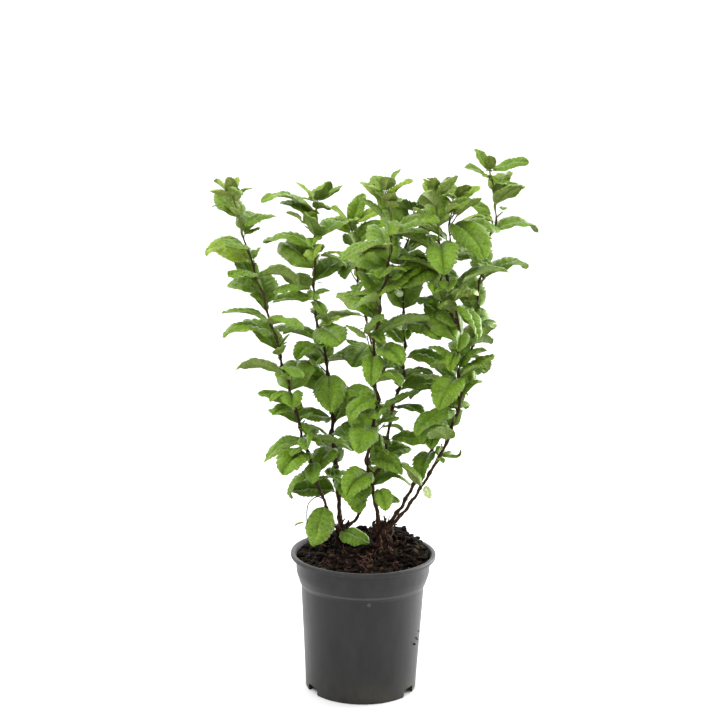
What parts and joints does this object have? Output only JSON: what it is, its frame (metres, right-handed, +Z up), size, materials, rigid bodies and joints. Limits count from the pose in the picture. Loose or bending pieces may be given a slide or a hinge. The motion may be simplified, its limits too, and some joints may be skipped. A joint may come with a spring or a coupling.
{
  "type": "potted spirea shrub",
  "caption": "Young upright spirea shrub with toothed green leaves on slender woody canes, growing in a round black plastic nursery pot.",
  "frame": {"origin": "centre of the pot's flat underside", "axes": "+Z up the plant, -Y towards its front, +X to its right as seen from the front"},
  "size_m": [0.3403, 0.2634, 0.5579],
  "materials": {
    "pot_plastic": "satin moulded dark grey plastic, dusty at the rim",
    "compost": "rough damp bark compost, brown-black",
    "bark": "thin dull red-brown bark with pale flecks",
    "leaf_mature": "soft mid-green leaf with sunk veins",
    "leaf_fresh": "soft fresh green leaf with sunk veins",
    "leaf_young": "satin yellow-green young leaf"
  },
  "bodies": {
    "root": {"pot": "pot_plastic", "compost": "compost", "left_crown": "bark", "right_crown": "bark", "left_cane": "bark", "outer_left_cane": "bark", "rear_cane": "bark", "centre_cane": "bark", "forked_cane": "bark", "right_cane": "bark", "tall_cane": "bark", "left_leaves_low": "leaf_mature", "left_leaves_middle": "leaf_mature", "left_leaves_high": "leaf_fresh", "left_leaves_top": "leaf_young", "outer_left_leaves_low": "leaf_mature", "outer_left_leaves_middle": "leaf_mature", "outer_left_leaves_high": "leaf_fresh", "outer_left_leaves_top": "leaf_young", "rear_leaves_low": "leaf_mature", "rear_leaves_middle": "leaf_mature", "rear_leaves_top": "leaf_young", "centre_leaves_low": "leaf_mature", "centre_leaves_middle": "leaf_mature", "centre_leaves_high": "leaf_fresh", "centre_leaves_top": "leaf_young", "forked_leaves_low": "leaf_mature", "forked_leaves_middle": "leaf_mature", "forked_leaves_top": "leaf_young", "right_leaves_low": "leaf_mature", "right_leaves_middle": "leaf_mature", "right_leaves_high": "leaf_fresh", "right_leaves_top": "leaf_young", "side_leaves_top": "leaf_young", "tall_leaves_low": "leaf_mature", "tall_leaves_middle": "leaf_mature", "tall_leaves_high": "leaf_fresh", "tall_leaves_top": "leaf_young"}
  },
  "joints": []
}
